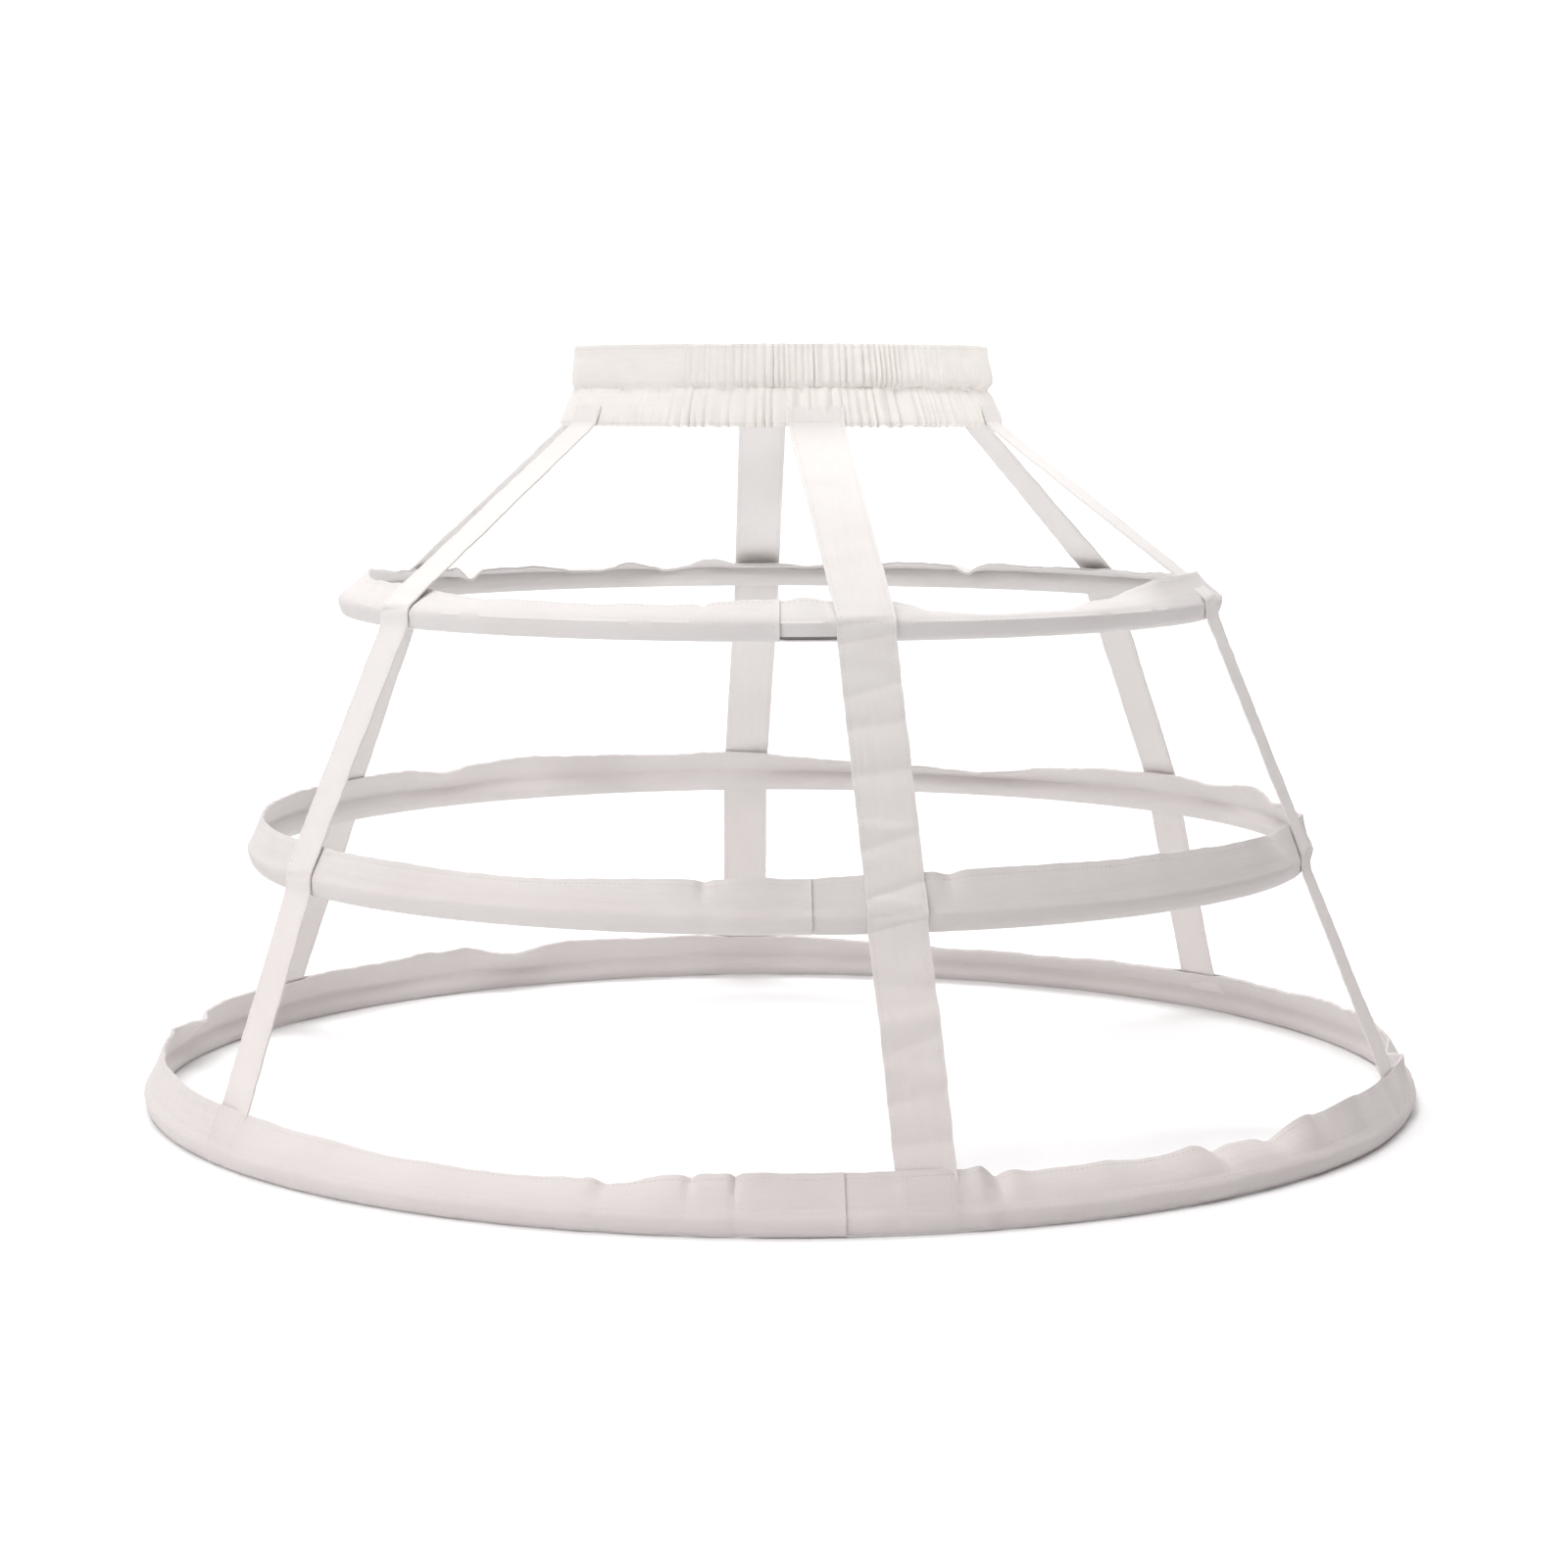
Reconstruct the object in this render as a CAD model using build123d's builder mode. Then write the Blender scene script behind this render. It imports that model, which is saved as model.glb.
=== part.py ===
# Crinoline cage: three steel hoops in cloth casings, hung on six straps from an elastic waistband.
# Millimetres. +Z is up and -Y is the front. The origin is the middle of the hem's ring, at the
# height of its lowest edge. Angles round the cage are in degrees from the front, towards +X.
# A section is drawn as radius and height, and revolved round the cage's axis.

import os
from math import asin, atan2, cos, degrees, radians, sin, tan

from build123d import *

# Clearance of cloth from whatever it lies on
cloth_gap = 0.3

# Straps: folded tape, outside the upper two casings and into the hem casing's top seam
strap_width = 30.0
strap_thick = 1.2
strap_lap = 9.0
strap_end_lift = 4.0

# Flat spring steel, and the sleeve that joins its ends
steel_width = 9.0
steel_thick = 0.8
steel_end_gap = 0.6
joiner_wall = 0.4
joiner_length = 40.0
joiner_gap = 0.1

# Casing: its cloth, the room round the sleeve and how slack the channel is, and the lap at the join
casing_wall = 0.8
steel_room = 0.2
channel_ease = 1.1
channel_round = 2.2
flap_root = 4.0
lap_length = 45.0
lap_thick = 0.5

# The top casing's seam is open below, just past its join, and shows the steel
open_seam_length = 30.0
open_seam_height = 3.5

# Height of the channel, half its width, the steel's lift in it, and the flaps' thicknesses: a
# plain flap is two layers of cloth, and the hem's also holds the ends of the straps
steel_lift = casing_wall + steel_room + joiner_wall + joiner_gap
channel_height = steel_width + 2 * steel_lift
channel_half = steel_thick / 2 + steel_lift + channel_ease
plain_flap = 2 * casing_wall + steel_room
hem_flap = 2 * casing_wall + strap_thick + 2 * cloth_gap

# Hoops: radius of the steel's middle, height of the casing's lowest edge, width and thickness of
# the flap above the steel's channel, and the angle where the casing's two ends are lapped
hem = {"radius": 383.0, "height": 0.0, "flap": 22.0, "flap_thick": hem_flap, "join": 5.0}
middle = {"radius": 319.0, "height": 144.0, "flap": 18.0, "flap_thick": plain_flap, "join": 3.0}
top = {"radius": 263.0, "height": 292.5, "flap": 20.0, "flap_thick": plain_flap, "join": 0.0}
hoops = {"hem": hem, "middle": middle, "top": top}

# Waistband: two channels with a seam between them, the lower one flared
waist_inner_radius = 121.0
waist_base = 405.0
lower_channel = 22.0
upper_channel = 26.0
lower_flare = 8.0
band_wall = 0.9
band_round = 1.0
seam_margin = 2.0

# Elastic: its ends are stitched down at the two ends of the flat panel, left of the front
elastic_thick = 1.2
elastic_edge_gap = 0.5
panel_start = -100.0
panel_end = -26.0

# Where each strap crosses the waistband, the top hoop, the middle hoop and the hem
strap_angles = {
    "strap_front": (9.0, 10.0, 11.0, 11.5),
    "strap_right_front": (72.0, 71.0, 73.0, 70.0),
    "strap_right_back": (115.0, 127.5, 126.5, 129.0),
    "strap_back": (185.0, 183.5, 184.5, 184.0),
    "strap_left_back": (253.5, 243.0, 243.2, 241.7),
    "strap_left_front": (300.0, 305.5, 303.0, 306.4),
}

band_thick = 2 * band_wall + elastic_thick + 2 * cloth_gap
band_outer_radius = waist_inner_radius + band_thick
waist_seam = waist_base + lower_channel
waist_top = waist_seam + upper_channel
strap_offset = cloth_gap + strap_thick / 2


def section_plane(angle):
    # Upright plane through the axis: its x points outwards at the angle, and its y points up
    turn = radians(angle)
    return Plane(origin=(0, 0, 0), x_dir=(sin(turn), -cos(turn), 0), z_dir=(-cos(turn), -sin(turn), 0))


def arc_angle(length, radius):
    return degrees(length / radius)


def along(lean):
    # Up a face that leans in towards the axis, in the section's radius and height
    return Vector(-sin(lean), cos(lean))


def outwards(lean):
    return Vector(cos(lean), sin(lean))


def lean_below(corner, above, offset):
    # Lean of a face that starts at the corner, so that a line down from above passes it at the offset
    reach = above - corner
    return atan2(-reach.X, reach.Y) + asin(offset / reach.length)


def shoulder(hoop):
    # Top of the channel's outer wall, where the flap starts
    return Vector(hoop["radius"] + channel_half, hoop["height"] + channel_height)


def strap_crossing(hoop, lean):
    # A strap's middle line over a hoop: at the shoulder, then at the foot of the outer wall
    wall_line = hoop["radius"] + channel_half + strap_offset
    bend = Vector(wall_line, hoop["height"] + channel_height + strap_offset * tan(lean / 2))
    foot = Vector(wall_line, hoop["height"] + channel_round)
    return bend, foot


# The flaps lean as the straps above them do, so each lean follows from the strap's line
band_lean = atan2(lower_flare, lower_channel)
band_edge = Vector(band_outer_radius + lower_flare, waist_base)
strap_edge = band_edge + outwards(band_lean) * strap_offset
strap_start = strap_edge + along(band_lean) * strap_lap
top["lean"] = lean_below(shoulder(top), strap_edge, strap_offset)
top_bend, top_foot = strap_crossing(top, top["lean"])
middle["lean"] = lean_below(shoulder(middle), top_foot, strap_offset)
middle_bend, middle_foot = strap_crossing(middle, middle["lean"])
hem["lean"] = lean_below(shoulder(hem), middle_foot, -hem["flap_thick"] / 2)
hem_seam = shoulder(hem) - outwards(hem["lean"]) * (hem["flap_thick"] / 2)
strap_enters = hem_seam + along(hem["lean"]) * hem["flap"]
strap_ends = hem_seam + along(hem["lean"]) * strap_end_lift


def write(part, name):
    part.label = name
    export_step(part, f"parts/{name}.step")


def lower_strip(edge_gap, inner, outer):
    # Outline of a strip in the flared lower channel: its gap from the channel's two ends, and how
    # far its two faces lie from the band's inside
    def corner(height, inset):
        flare = lower_flare * (waist_seam - height) / lower_channel
        return waist_inner_radius + flare + inset, height

    low = waist_base + edge_gap
    high = waist_seam - edge_gap
    return [corner(low, inner), corner(low, outer), corner(high, outer), corner(high, inner)]


os.makedirs("parts", exist_ok=True)

# Waistband
elastic_arc = 360.0 - (panel_end - panel_start)
elastic_inner = band_wall + cloth_gap
elastic_outer = elastic_inner + elastic_thick
elastic_margin = seam_margin + elastic_edge_gap
room_outer = band_thick - band_wall
upper_room_height = upper_channel - 2 * seam_margin
upper_middle = waist_seam + upper_channel / 2

with BuildPart() as waistband:
    with BuildSketch(section_plane(0)) as band_section:
        with BuildLine():
            Polyline(
                (waist_inner_radius, waist_top),
                (band_outer_radius, waist_top),
                (band_outer_radius, waist_seam),
                (band_edge.X, waist_base),
                (waist_inner_radius + lower_flare, waist_base),
                (waist_inner_radius, waist_seam),
                close=True,
            )
        make_face()
        fillet(band_section.vertices().sort_by(Axis.Y)[-2:].sort_by(Axis.X)[-1], band_round)
    revolve(axis=Axis.Z)
    with BuildSketch(section_plane(panel_end)):
        with Locations((waist_inner_radius + band_thick / 2, upper_middle)):
            Rectangle(room_outer - band_wall, upper_room_height)
        with BuildLine():
            Polyline(*lower_strip(seam_margin, band_wall, room_outer), close=True)
        make_face()
    revolve(axis=Axis.Z, revolution_arc=elastic_arc, mode=Mode.SUBTRACT)
write(waistband.part, "waistband")

with BuildPart() as waist_elastic_upper:
    with BuildSketch(section_plane(panel_end)):
        with Locations((waist_inner_radius + band_thick / 2, upper_middle)):
            Rectangle(elastic_thick, upper_room_height - 2 * elastic_edge_gap)
    revolve(axis=Axis.Z, revolution_arc=elastic_arc)
write(waist_elastic_upper.part, "waist_elastic_upper")

with BuildPart() as waist_elastic_lower:
    with BuildSketch(section_plane(panel_end)):
        with BuildLine():
            Polyline(*lower_strip(elastic_margin, elastic_inner, elastic_outer), close=True)
        make_face()
    revolve(axis=Axis.Z, revolution_arc=elastic_arc)
write(waist_elastic_lower.part, "waist_elastic_lower")


def casing_outline(hoop):
    # Closed outline of a casing: the channel round the steel, and the leaning flap above it
    foot = Vector(hoop["radius"], hoop["height"])
    up = along(hoop["lean"])
    flap_in = outwards(hoop["lean"]) * -hoop["flap_thick"]
    corner = shoulder(hoop)
    return [
        foot + Vector(-channel_half, 0),
        foot + Vector(channel_half, 0),
        corner,
        corner + up * hoop["flap"],
        corner + up * hoop["flap"] + flap_in,
        corner + up * flap_root + flap_in,
        foot + Vector(-channel_half, channel_height - casing_wall),
    ]


def lap_outline(hoop):
    # Second layer of cloth on the outside, where the casing's ends are lapped
    foot = Vector(hoop["radius"] + channel_half, hoop["height"] + channel_round)
    corner = shoulder(hoop)
    tip = corner + along(hoop["lean"]) * (hoop["flap"] - cloth_gap)
    bend = corner + Vector(lap_thick, lap_thick * tan(hoop["lean"] / 2))
    inside = Vector(-casing_wall / 2, 0)
    return [
        foot + inside,
        foot + Vector(lap_thick, 0),
        bend,
        tip + outwards(hoop["lean"]) * lap_thick,
        tip - outwards(hoop["lean"]) * (casing_wall / 2),
        corner + inside,
    ]


def make_casing(hoop):
    steel_line = hoop["radius"]
    room_foot = hoop["height"] + casing_wall
    room_top = hoop["height"] + channel_height - casing_wall
    lap_arc = arc_angle(lap_length, steel_line)
    with BuildPart() as casing:
        with BuildSketch(section_plane(0)) as section:
            with BuildLine():
                Polyline(*casing_outline(hoop), close=True)
            make_face()
            fillet(section.vertices().group_by(Axis.Y)[0], channel_round)
        revolve(axis=Axis.Z)
        with BuildSketch(section_plane(hoop["join"] - lap_arc)):
            with BuildLine():
                Polyline(*lap_outline(hoop), close=True)
            make_face()
        revolve(axis=Axis.Z, revolution_arc=lap_arc)
        with BuildSketch(section_plane(0)):
            with Locations((steel_line, (room_foot + room_top) / 2)):
                RectangleRounded(
                    2 * (channel_half - casing_wall),
                    room_top - room_foot,
                    channel_round - casing_wall,
                )
        revolve(axis=Axis.Z, mode=Mode.SUBTRACT)
        if hoop is top:
            with BuildSketch(section_plane(hoop["join"])):
                with Locations((steel_line, hoop["height"])):
                    Rectangle(2 * channel_half + lap_thick, 2 * open_seam_height)
            open_arc = arc_angle(open_seam_length, steel_line)
            revolve(axis=Axis.Z, revolution_arc=open_arc, mode=Mode.SUBTRACT)
        if hoop is hem:
            for angles in strap_angles.values():
                strap_plane = station_plane(strap_ends, hem["lean"], angles[-1])
                with BuildSketch(strap_plane.offset(-cloth_gap)):
                    Rectangle(strap_width + 2 * cloth_gap, strap_thick + 2 * cloth_gap)
                extrude(amount=hem["flap"], mode=Mode.SUBTRACT)
    return casing.part


def make_steel(hoop):
    gap_arc = arc_angle(steel_end_gap, hoop["radius"])
    with BuildPart() as steel:
        with BuildSketch(section_plane(joiner_angle(hoop) + gap_arc / 2)):
            with Locations((hoop["radius"], hoop["height"] + steel_lift + steel_width / 2)):
                Rectangle(steel_thick, steel_width)
        revolve(axis=Axis.Z, revolution_arc=360.0 - gap_arc)
    return steel.part


def make_joiner(hoop):
    joiner_arc = arc_angle(joiner_length, hoop["radius"])
    room = steel_thick + 2 * joiner_gap
    tall_room = steel_width + 2 * joiner_gap
    with BuildPart() as joiner:
        with BuildSketch(section_plane(joiner_angle(hoop) - joiner_arc / 2)):
            with Locations((hoop["radius"], hoop["height"] + steel_lift + steel_width / 2)):
                Rectangle(room + 2 * joiner_wall, tall_room + 2 * joiner_wall)
                Rectangle(room, tall_room, mode=Mode.SUBTRACT)
        revolve(axis=Axis.Z, revolution_arc=joiner_arc)
    return joiner.part


def joiner_angle(hoop):
    # The sleeve lies under the middle of the casing's lap
    return hoop["join"] - arc_angle(lap_length / 2, hoop["radius"])


def station_plane(point, lean, angle):
    # Plane across a strap: x along its width, y out of its face, z up its length
    turn = radians(angle)
    outward = Vector(sin(turn), -cos(turn), 0)
    sideways = Vector(cos(turn), sin(turn), 0)
    origin = outward * point.X + Vector(0, 0, point.Y)
    upward = Vector(0, 0, 1) * cos(lean) - outward * sin(lean)
    return Plane(origin=origin, x_dir=-sideways, z_dir=upward)


def make_strap(angles):
    at_waist, at_top, at_middle, at_hem = angles
    # Each station is a point of the strap's middle line, the leans above and below it, and an angle
    stations = [
        (strap_start, band_lean, band_lean, at_waist),
        (strap_edge, band_lean, top["lean"], at_waist),
        (top_bend, top["lean"], 0, at_top),
        (top_foot, 0, middle["lean"], at_top),
        (middle_bend, middle["lean"], 0, at_middle),
        (middle_foot, 0, hem["lean"], at_middle),
        (strap_enters, hem["lean"], hem["lean"], at_hem),
        (strap_ends, hem["lean"], hem["lean"], at_hem),
    ]
    with BuildPart() as strap:
        for point, lean_above, lean_under, angle in stations:
            mitre = strap_thick / cos((lean_above - lean_under) / 2)
            with BuildSketch(station_plane(point, (lean_above + lean_under) / 2, angle)):
                Rectangle(strap_width, mitre)
        loft(ruled=True)
    return strap.part


for hoop_name, hoop in hoops.items():
    write(make_casing(hoop), f"casing_{hoop_name}")
    write(make_steel(hoop), f"steel_{hoop_name}")
    write(make_joiner(hoop), f"joiner_{hoop_name}")

for strap_name, angles in strap_angles.items():
    write(make_strap(angles), strap_name)
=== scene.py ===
import math

import bpy
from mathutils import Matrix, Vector, noise


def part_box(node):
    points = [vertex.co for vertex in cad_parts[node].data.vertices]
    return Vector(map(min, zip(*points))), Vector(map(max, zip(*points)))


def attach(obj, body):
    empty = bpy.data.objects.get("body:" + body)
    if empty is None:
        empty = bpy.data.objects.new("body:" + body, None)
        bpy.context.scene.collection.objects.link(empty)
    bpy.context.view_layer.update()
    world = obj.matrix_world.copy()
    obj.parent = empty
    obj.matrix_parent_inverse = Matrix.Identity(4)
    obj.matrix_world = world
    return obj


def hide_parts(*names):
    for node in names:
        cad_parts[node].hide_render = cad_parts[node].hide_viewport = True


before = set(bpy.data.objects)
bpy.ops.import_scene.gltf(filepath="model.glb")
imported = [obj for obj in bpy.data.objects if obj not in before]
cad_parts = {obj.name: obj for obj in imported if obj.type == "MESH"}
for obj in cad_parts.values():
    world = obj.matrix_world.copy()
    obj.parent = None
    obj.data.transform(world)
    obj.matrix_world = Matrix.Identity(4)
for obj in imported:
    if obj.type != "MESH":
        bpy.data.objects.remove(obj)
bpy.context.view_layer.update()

print("stage: frame loaded,", len(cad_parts), "nodes")


# small helpers

def deselectAll():
    bpy.ops.object.select_all(action="DESELECT")


def makeActive(piece):
    deselectAll()
    piece.select_set(True)
    bpy.context.view_layer.objects.active = piece


def smooth(low, high, value):
    share = min(max((value - low) / (high - low), 0.0), 1.0)
    return share * share * (3 - 2 * share)


def bump(distance, spread):
    return math.exp(-(distance / spread) ** 2)


def degreesApart(one, other):
    return (one - other + 180) % 360 - 180


def around(angle, radius, height):  # degrees from the front towards +X
    turn = math.radians(angle)
    return Vector((radius * math.sin(turn), -radius * math.cos(turn), height))


def ringNoise(angle, radius, size, seed, up=0.0):  # noise that closes on itself round the cage
    spot = around(angle, radius / size, 0)
    return noise.noise(Vector((spot.x + seed * 7.1, spot.y - seed * 3.7, seed + up / size)))


def clothFromFlat(name, length, width, columns, rows, place):  # a flat cut, then shaped point by point
    deselectAll()
    bpy.ops.mesh.primitive_grid_add(x_subdivisions=columns, y_subdivisions=rows, size=1)
    piece = bpy.context.object
    piece.name = name
    mesh = piece.data
    mesh.name = name
    flat = [((v.co.x + 0.5) * length, (v.co.y + 0.5) * width) for v in mesh.vertices]
    layer = mesh.uv_layers.active
    layer.name = "clothUV"  # metres along and across the cut
    for loop in mesh.loops:
        layer.data[loop.index].uv = flat[loop.vertex_index]
    for vertex, (along, across) in zip(mesh.vertices, flat):
        vertex.co = place(along, across)
    return piece


def turnOutwards(piece, sewReach=0.0):  # turns the faces one way, after sewing up ends within reach
    makeActive(piece)
    bpy.ops.object.mode_set(mode="EDIT")
    bpy.ops.mesh.select_all(action="SELECT")
    if sewReach:
        bpy.ops.mesh.remove_doubles(threshold=sewReach)
    bpy.ops.mesh.normals_make_consistent(inside=False)
    bpy.ops.object.mode_set(mode="OBJECT")


def openSlot(piece, start, end, low, high):  # takes out the faces between these distances along and across
    makeActive(piece)
    bpy.ops.object.mode_set(mode="EDIT")
    bpy.ops.mesh.select_mode(type="FACE")
    bpy.ops.mesh.select_all(action="DESELECT")
    bpy.ops.object.mode_set(mode="OBJECT")
    layer = piece.data.uv_layers.active
    for face in piece.data.polygons:
        corners = [layer.data[i].uv for i in face.loop_indices]
        along = sum(corner.x for corner in corners) / len(corners)
        across = sum(corner.y for corner in corners) / len(corners)
        face.select = start < along < end and low < across < high
    bpy.ops.object.mode_set(mode="EDIT")
    bpy.ops.mesh.delete(type="FACE")
    bpy.ops.mesh.select_mode(type="VERT")
    bpy.ops.object.mode_set(mode="OBJECT")


def giveThickness(piece, thickness):
    makeActive(piece)
    modifier = piece.modifiers.new("clothThickness", "SOLIDIFY")
    modifier.thickness = thickness
    modifier.offset = 0
    bpy.ops.object.modifier_apply(modifier=modifier.name)
    bpy.ops.object.shade_smooth_by_angle(angle=math.radians(50))


def finishPiece(piece, material, replaced=()):
    piece.data.materials.clear()
    piece.data.materials.append(material)
    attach(piece, "root")
    if replaced:
        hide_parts(*replaced)


# sizes read from the frame

steelThick = 0.0008


def hoopFrom(name):
    low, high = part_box("casing_" + name)
    steelLow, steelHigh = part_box("steel_" + name)
    return {
        "radius": (steelHigh[1] - steelLow[1]) / 2 - steelThick / 2,  # to the middle of the steel
        "foot": low[2],
        "tip": high[2],
    }


tape = {
    "cloth": 0.0007,          # thickness of one layer
    "channel": 0.012,         # height of the channel round the steel
    "slack": 0.0035,          # half the channel's width, to the middle of the cloth, between straps
    "pressed": 0.0026,        # the same under a strap
    "outline": 0.0030,        # where the flaps and straps stand, from the middle of the steel
    "step": 0.0021,           # distance between points along the tape
    "rows": 27,
}

casings = {                   # height and thickness of the flap, and degrees at which the lap ends
    "hem": {"flap": 0.022, "flapThick": 0.0034, "join": 5.0},
    "middle": {"flap": 0.018, "flapThick": 0.0018, "join": 3.0},
    "top": {"flap": 0.020, "flapThick": 0.0018, "join": 0.0},
}
for hoopName, casing in casings.items():
    casing.update(hoopFrom(hoopName))
    rise = casing["tip"] - casing["foot"] - tape["channel"]
    casing["lean"] = math.acos(min(rise / casing["flap"], 1.0))

strap = {
    "width": 0.030,
    "frontWidth": 0.0322,     # pressed flatter than the others
    "thick": 0.0010,
    "offset": 0.0009,         # from the cloth it lies on to its own middle
    "step": 0.0013,
    "rows": 26,
    "stitchInset": 0.0022,
    "angles": {               # at the waistband, top hoop, middle hoop and hem
        "strap_front": (9.0, 10.0, 11.0, 11.5),
        "strap_right_front": (72.0, 71.0, 73.0, 70.0),
        "strap_right_back": (115.0, 127.5, 126.5, 129.0),
        "strap_back": (185.0, 183.5, 184.5, 184.0),
        "strap_left_back": (253.5, 243.0, 243.2, 241.7),
        "strap_left_front": (300.0, 305.5, 303.0, 306.4),
    },
}
hoopOrder = {"top": 1, "middle": 2, "hem": 3}

bandLow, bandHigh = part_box("waistband")
band = {
    "base": bandLow[2],
    "top": bandHigh[2],
    "seam": bandLow[2] + 0.022,
    "inside": 0.121,
    "outside": 0.1246,
    "flare": 0.008,
    "cloth": 0.0005,
    "sewReach": 0.00004,      # how near the ends of the ring are when they are sewn together
}


# how the flaps of the casings stand

flapLean = {                  # angle, and degrees that the flap leans in beyond the plain lean
    "hem": [
        (0, 0), (12, 3), (17, 22), (24, 27), (32, 31), (43, 34), (55, 8), (70, 0), (95, 4), (121, 15),
        (135, 20), (147, 28), (158, 27), (168, 18), (184, 4), (200, -2), (235, 0), (285, 0), (303, 0),
        (317, 24), (328, 36), (347, 37), (352, 10),
    ],
    "middle": [
        (0, 0), (14, 2), (24, 11), (45, 11), (60, 2), (105, 4), (125, 8), (141, 28), (154, 50),
        (162, 40), (174, 30), (187, 2), (260, 0), (320, 4), (331, 16), (343, 8), (352, 0),
    ],
    "top": [
        (0, 10), (14, 12), (24, 34), (36, 40), (48, 22), (60, -12), (74, -12), (90, 4), (105, 14),
        (125, 20), (150, 25), (180, 26), (210, 30), (232, 24), (252, 12), (266, 4), (300, 4), (318, 16),
        (345, 16),
    ],
}
flapRise = {                  # angle, and metres that the flap is higher
    "hem": [(0, 0.0), (180, 0.0)],
    "middle": [
        (0, 0.0), (10, 0.0028), (22, 0.0040), (40, 0.0036), (62, 0.0018), (85, 0.0), (300, 0.0),
        (322, -0.0012), (334, -0.0016), (348, 0.0),
    ],
    "top": [(0, 0.0), (180, 0.0)],
}
casingFolds = {               # angle, spread in degrees, lean in degrees, lift and push in metres
    "hem": [
        (-15.4, 0.7, -4, 0.0002, 0.0012), (-14.0, 0.6, 3, 0.0, -0.0016),
        (-7.0, 0.45, 5, -0.0006, -0.0014), (-3.4, 0.30, 7, -0.0008, -0.0024),
        (15.8, 0.7, -9, 0.0008, 0.0016), (17.6, 0.6, 9, -0.0010, -0.0016),
        (21.0, 1.5, 4, -0.0004, -0.0006), (27.0, 2.0, -3, 0.0004, 0.0008),
        (36.3, 1.7, -7, 0.0012, 0.0014), (39.2, 0.9, 7, -0.0010, -0.0014),
        (46.6, 1.5, 9, -0.0020, -0.0016), (50.4, 1.3, -7, 0.0010, 0.0014),
        (58.0, 2.0, -9, 0.0014, 0.0010), (76.0, 2.4, -10, 0.0018, 0.0014),
        (84.0, 2.6, 12, -0.0022, -0.0012), (98.0, 3.0, -8, 0.0012, 0.0),
        (196.0, 4.0, 5, -0.0006, 0.0), (211.0, 3.6, 16, -0.0010, -0.0010),
        (216.5, 1.8, -8, 0.0006, 0.0010), (222.0, 2.4, -6, 0.0008, 0.0),
        (262.0, 2.2, 20, 0.0020, 0.0), (268.0, 1.6, -10, -0.0024, 0.0),
    ],
    "middle": [
        (-7.2, 0.6, 6, -0.0006, -0.0012), (-3.0, 2.4, -6, 0.0012, 0.0006),
        (16.5, 1.0, 6, -0.0010, -0.0010), (30.0, 3.0, -3, 0.0004, 0.0),
        (66.0, 2.4, 10, -0.0016, -0.0012), (70.0, 1.6, -12, 0.0014, 0.0016),
        (75.5, 1.6, 12, -0.0012, -0.0014), (79.5, 2.0, -10, 0.0014, 0.0012),
        (98.0, 3.4, 10, -0.0014, 0.0), (107.0, 3.4, -8, 0.0010, 0.0),
        (116.0, 3.4, 7, -0.0010, 0.0), (136.0, 4.0, -6, 0.0006, 0.0),
        (196.0, 5.0, 8, 0.0004, 0.0), (213.0, 5.0, -10, 0.0008, 0.0),
        (227.0, 3.2, 15, -0.0010, 0.0), (250.0, 3.0, -5, 0.0, 0.0),
    ],
    "top": [
        (-9.5, 0.6, 4, -0.0004, -0.0008), (-26.0, 5.0, 4, -0.0006, 0.0),
        (3.5, 1.8, -5, 0.0008, 0.0006), (18.5, 2.0, 6, -0.0008, -0.0006),
        (27.0, 5.0, 9, -0.0012, -0.0004), (112.0, 4.0, 6, -0.0006, 0.0),
        (143.0, 3.0, -4, 0.0006, 0.0), (149.5, 1.6, 12, -0.0020, 0.0),
        (160.0, 4.0, -5, 0.0006, 0.0), (176.0, 3.0, 5, -0.0006, 0.0),
        (191.0, 3.2, -12, 0.0008, 0.0), (198.0, 3.0, 5, -0.0006, 0.0),
        (204.0, 3.0, -6, 0.0008, 0.0), (214.0, 4.0, 5, -0.0008, 0.0),
        (222.0, 4.0, -6, 0.0006, 0.0), (235.0, 1.6, 14, -0.0020, 0.0),
        (240.0, 2.4, -10, 0.0010, 0.0), (268.0, 5.0, -6, 0.0006, 0.0),
    ],
}


def fromTable(table, angle):  # smooth values between the angles of a table, all the way round
    angle = angle % 360
    spots = sorted((at % 360, value) for at, value in table)
    spots = [(spots[-1][0] - 360, spots[-1][1])] + spots + [(spots[0][0] + 360, spots[0][1])]
    for (low, one), (high, other) in zip(spots, spots[1:]):
        if low <= angle <= high:
            return one + (other - one) * smooth(low, high, angle)
    return 0.0


# where a strap runs

def strapStations(angles):  # the points a strap is drawn through, as radius and height, and their angles
    lean = math.atan2(band["flare"], band["seam"] - band["base"])
    out = Vector((math.cos(lean), math.sin(lean)))
    up = Vector((-math.sin(lean), math.cos(lean)))
    edge = Vector((band["outside"] + band["flare"], band["base"])) + out * strap["offset"]
    stations = [(edge + up * 0.012, angles[0]), (edge, angles[0])]
    for name in ("top", "middle"):
        casing = casings[name]
        wall = casing["radius"] + tape["outline"] + strap["offset"]
        rise = strap["offset"] * math.tan(casing["lean"] / 2)
        stations.append((Vector((wall, casing["foot"] + tape["channel"] + rise)), angles[hoopOrder[name]]))
        stations.append((Vector((wall, casing["foot"] + 0.0022)), angles[hoopOrder[name]]))
    seam, up = flapMiddle(casings["hem"], fromTable(flapLean["hem"], angles[3]))
    stations.append((seam + up * casings["hem"]["flap"], angles[3]))
    stations.append((seam + up * 0.004, angles[3]))
    return stations


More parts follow.
